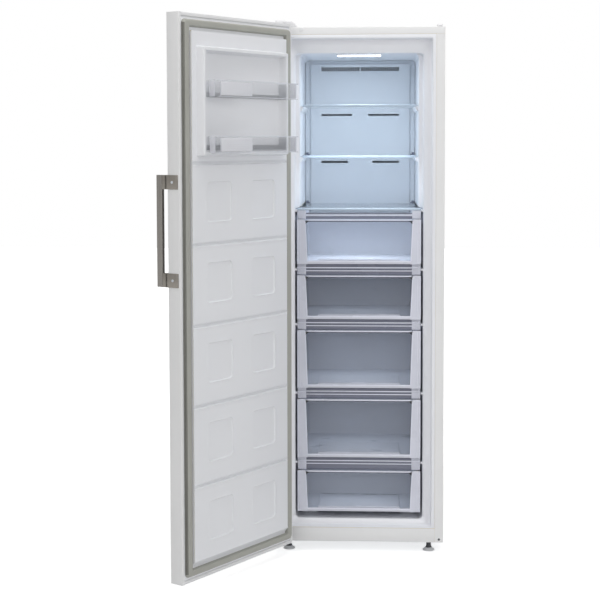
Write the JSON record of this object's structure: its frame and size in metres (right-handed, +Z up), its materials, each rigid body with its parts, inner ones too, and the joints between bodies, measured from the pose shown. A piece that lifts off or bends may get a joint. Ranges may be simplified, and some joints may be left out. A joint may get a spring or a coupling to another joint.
{
  "type": "upright freezer",
  "caption": "Tall single-door upright freezer with glass shelves, clear drawers and door balconies, shown with the door open.",
  "frame": {"origin": "floor level, at mid-width and mid-depth of the cabinet without its door", "axes": "+Z up, front faces -Y, +X to the right seen from the front"},
  "size_m": [0.9299, 1.1278, 1.8655],
  "materials": {
    "white_paint": "satin",
    "white_plastic": "satin",
    "liner_plastic": "satin",
    "foam": "matte",
    "clear_plastic": "gloss",
    "glass": "gloss",
    "gasket": "matte",
    "brushed_steel": "satin",
    "zinc_steel": "satin",
    "dark_plastic": "matte",
    "black_paint": "satin",
    "aluminium": "satin",
    "lamp_lens": "satin"
  },
  "bodies": {
    "cabinet": {"side_panel_left": "white_paint", "side_panel_right": "white_paint", "top_panel": "white_paint", "back_panel": "zinc_steel", "base_front": "white_paint", "base_pan": "zinc_steel", "machine_shield": "zinc_steel", "cabinet_foam": "foam", "liner": "liner_plastic", "shelf_glass_1": "glass", "shelf_glass_2": "glass", "shelf_glass_3": "glass", "shelf_trim_1": "clear_plastic", "shelf_trim_2": "clear_plastic", "shelf_trim_3": "clear_plastic", "drawer_divider_1": "clear_plastic", "drawer_divider_2": "clear_plastic", "drawer_divider_3": "clear_plastic", "drawer_divider_4": "clear_plastic", "duct_cover": "liner_plastic", "duct_flange": "liner_plastic", "fan_housing": "dark_plastic", "evaporator": "aluminium", "lamp_lens": "lamp_lens", "compressor": "black_paint", "drip_tray": "dark_plastic", "power_inlet": "dark_plastic", "roller_bracket_left": "zinc_steel", "roller_bracket_right": "zinc_steel", "hinge_top": "zinc_steel", "hinge_cover": "white_plastic", "hinge_bottom": "zinc_steel", "frame_plug": "white_plastic", "hole_cover_right": "white_plastic", "frame_screw": "dark_plastic"},
    "door": {"door_skin": "white_paint", "door_cap_top": "white_plastic", "door_cap_bottom": "white_plastic", "door_foam": "foam", "door_liner": "white_plastic", "door_gasket": "gasket", "door_balcony_1": "clear_plastic", "door_balcony_2": "clear_plastic", "door_bush_top": "dark_plastic", "door_bush_bottom": "dark_plastic", "handle_bar": "brushed_steel", "handle_bracket_upper": "brushed_steel", "handle_bracket_lower": "brushed_steel", "handle_screw_upper": "zinc_steel", "handle_screw_lower": "zinc_steel"},
    "drawer_1_body": {"drawer_1": "clear_plastic"},
    "drawer_2_body": {"drawer_2": "clear_plastic"},
    "drawer_3_body": {"drawer_3": "clear_plastic"},
    "drawer_4_body": {"drawer_4": "clear_plastic"},
    "drawer_5_body": {"drawer_5": "clear_plastic"},
    "fan_rotor_body": {"fan_rotor": "dark_plastic"},
    "foot_left_body": {"foot_left": "dark_plastic"},
    "foot_right_body": {"foot_right": "dark_plastic"},
    "roller_left_body": {"roller_left": "dark_plastic"},
    "roller_right_body": {"roller_right": "dark_plastic"}
  },
  "joints": [
    {"name": "door_hinge", "type": "hinge", "parent": "cabinet", "child": "door", "pos_m": [-0.2715, -0.3375, 0.9], "axis": [0, 0, -1], "range_deg": [-122.7, 12.3]},
    {"name": "drawer_1_slide", "type": "slide", "parent": "cabinet", "child": "drawer_1_body", "axis": [0, -1, 0], "range_m": [0, 0.3]},
    {"name": "drawer_2_slide", "type": "slide", "parent": "cabinet", "child": "drawer_2_body", "axis": [0, -1, 0], "range_m": [0, 0.3]},
    {"name": "drawer_3_slide", "type": "slide", "parent": "cabinet", "child": "drawer_3_body", "axis": [0, -1, 0], "range_m": [0, 0.3]},
    {"name": "drawer_4_slide", "type": "slide", "parent": "cabinet", "child": "drawer_4_body", "axis": [0, -1, 0], "range_m": [0, 0.3]},
    {"name": "drawer_5_slide", "type": "slide", "parent": "cabinet", "child": "drawer_5_body", "axis": [0, -1, 0], "range_m": [0, 0.18]},
    {"name": "fan_spin", "type": "hinge", "parent": "cabinet", "child": "fan_rotor_body", "pos_m": [0, 0.1995, 1.278], "axis": [0, 1, 0], "continuous": true},
    {"name": "foot_left_turn", "type": "hinge", "parent": "cabinet", "child": "foot_left_body", "pos_m": [-0.248, -0.255, 0.02], "axis": [0, 0, 1], "continuous": true},
    {"name": "foot_right_turn", "type": "hinge", "parent": "cabinet", "child": "foot_right_body", "pos_m": [0.248, -0.255, 0.02], "axis": [0, 0, 1], "continuous": true},
    {"name": "roller_left_turn", "type": "hinge", "parent": "cabinet", "child": "roller_left_body", "pos_m": [-0.25, 0.265, 0.018], "axis": [1, 0, 0], "continuous": true},
    {"name": "roller_right_turn", "type": "hinge", "parent": "cabinet", "child": "roller_right_body", "pos_m": [0.25, 0.265, 0.018], "axis": [1, 0, 0], "continuous": true}
  ]
}
